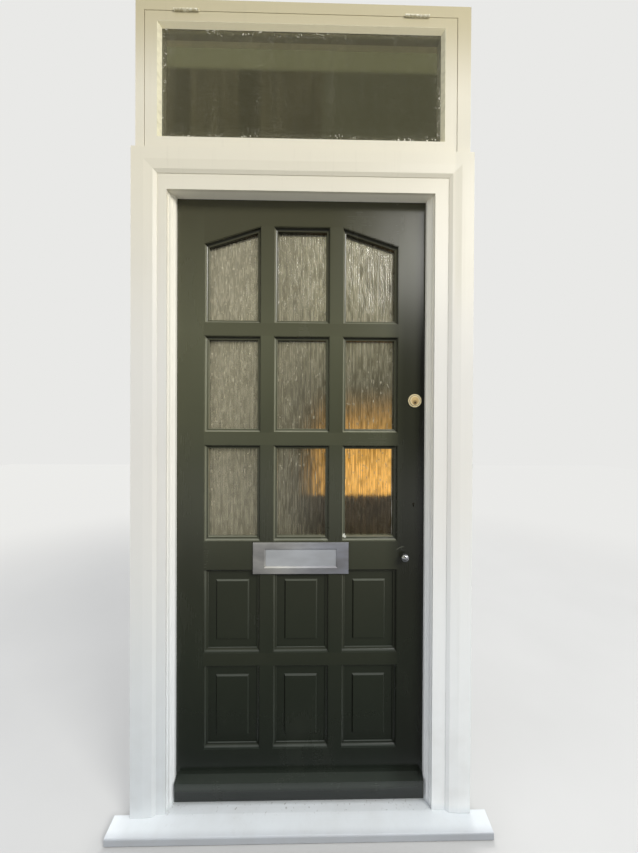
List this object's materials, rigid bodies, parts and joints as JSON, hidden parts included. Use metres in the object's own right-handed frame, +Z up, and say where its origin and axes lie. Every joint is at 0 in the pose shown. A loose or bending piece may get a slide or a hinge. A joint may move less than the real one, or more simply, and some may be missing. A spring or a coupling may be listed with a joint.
{
  "type": "panelled front door",
  "caption": "Painted timber front door with obscured panes over fielded panels, hung in its moulded frame under an opening fanlight, with sill, letter plate and locks.",
  "frame": {"origin": "on the underside of the sill, under the middle of the door leaf, in the plane of the frame's outside face", "axes": "+Z up, +X to the right seen from outside, +Y indoors"},
  "size_m": [1.1375, 0.2003, 2.507],
  "materials": {
    "white_paint": "white gloss paint on timber",
    "green_paint": "dark olive green satin paint on timber",
    "obscured_glass": "rolled with vertical streaks",
    "clear_glass": "clear, slightly dirty",
    "satin_metal": "satin",
    "bright_metal": "polished",
    "lock_steel": "plain",
    "painted_steel": "painted over with the frame",
    "brass": "worn satin",
    "putty": "painted putty"
  },
  "bodies": {
    "frame": {"sill": "white_paint", "water_bar": "brass", "post_left": "white_paint", "post_right": "white_paint", "transom": "white_paint", "upper_post_left": "white_paint", "upper_post_right": "white_paint", "frame_head": "white_paint", "casing_left": "white_paint", "casing_right": "white_paint", "casing_head": "white_paint", "stop_bead_left": "white_paint", "stop_bead_right": "white_paint", "door_hinge_frame_leaves": "lock_steel", "door_hinge_pins": "lock_steel", "fan_hinge_frame_leaves": "painted_steel", "fan_hinge_pins": "painted_steel", "latch_staple": "lock_steel", "dead_bolt_keep": "lock_steel", "stay_pegs": "brass"},
    "door": {"stile_left": "green_paint", "stile_right": "green_paint", "top_rail": "green_paint", "glazing_rails": "green_paint", "lock_rail": "green_paint", "panel_rail": "green_paint", "bottom_rail": "green_paint", "glazing_muntins": "green_paint", "panel_muntins": "green_paint", "panes_row_1": "obscured_glass", "panes_row_2": "obscured_glass", "panes_row_3": "obscured_glass", "pane_mouldings": "green_paint", "glazing_beads": "green_paint", "panels_row_1": "green_paint", "panels_row_2": "green_paint", "panel_mouldings": "green_paint", "panel_mouldings_inside": "green_paint", "weatherboard": "green_paint", "door_hinge_leaves": "lock_steel", "letter_plate": "satin_metal", "letter_flap_pin": "lock_steel", "rim_cylinder": "brass", "latch_case": "lock_steel", "lock_case": "lock_steel", "pull_knob": "bright_metal"},
    "fanlight": {"fan_stile_left": "white_paint", "fan_stile_right": "white_paint", "fan_top_rail": "white_paint", "fan_bottom_rail": "white_paint", "fan_glass": "clear_glass", "fan_putty": "putty", "fan_hinge_leaves": "painted_steel", "stay_bracket": "brass"},
    "letter_flap": {"letter_flap": "satin_metal"},
    "cylinder_plug": {"cylinder_plug": "brass"},
    "latch_bolt": {"latch_bolt": "lock_steel"},
    "latch_knob": {"latch_knob": "brass"},
    "dead_bolt": {"dead_bolt": "lock_steel"},
    "stay": {"stay_arm": "brass"}
  },
  "joints": [
    {"name": "door_hinge", "type": "hinge", "parent": "frame", "child": "door", "pos_m": [-0.408, 0.09502, 0], "axis": [0, 0, 1], "range_deg": [0, 100]},
    {"name": "fanlight_hinge", "type": "hinge", "parent": "frame", "child": "fanlight", "pos_m": [0, -0.00346, 2.472], "axis": [-1, 0, 0], "range_deg": [0, 30]},
    {"name": "flap_hinge", "type": "hinge", "parent": "door", "child": "letter_flap", "pos_m": [0, 0.0483, 0.82425], "axis": [1, 0, 0], "range_deg": [0, 80], "stiffness_Nm_per_rad": 0.05, "springref_deg": -28.65},
    {"name": "plug_turn", "type": "hinge", "parent": "door", "child": "cylinder_plug", "pos_m": [0.363, 0.045, 1.297], "axis": [0, 1, 0], "range_deg": [0, 90]},
    {"name": "latch_slide", "type": "slide", "parent": "door", "child": "latch_bolt", "axis": [1, 0, 0], "range_m": [0, 0.014]},
    {"name": "latch_knob_turn", "type": "hinge", "parent": "door", "child": "latch_knob", "pos_m": [0.3485, 0.116, 1.303], "axis": [0, 1, 0], "range_deg": [-60, 0]},
    {"name": "dead_bolt_slide", "type": "slide", "parent": "door", "child": "dead_bolt", "axis": [1, 0, 0], "range_m": [0, 0.018]},
    {"name": "stay_pivot", "type": "hinge", "parent": "fanlight", "child": "stay", "pos_m": [-0.11, 0.058, 2.075], "axis": [0, 1, 0], "range_deg": [0, 6]}
  ],
  "couplings": [
    {"joint": "latch_knob_turn", "follows": "latch_slide", "rad_per_m": -74.79}
  ]
}
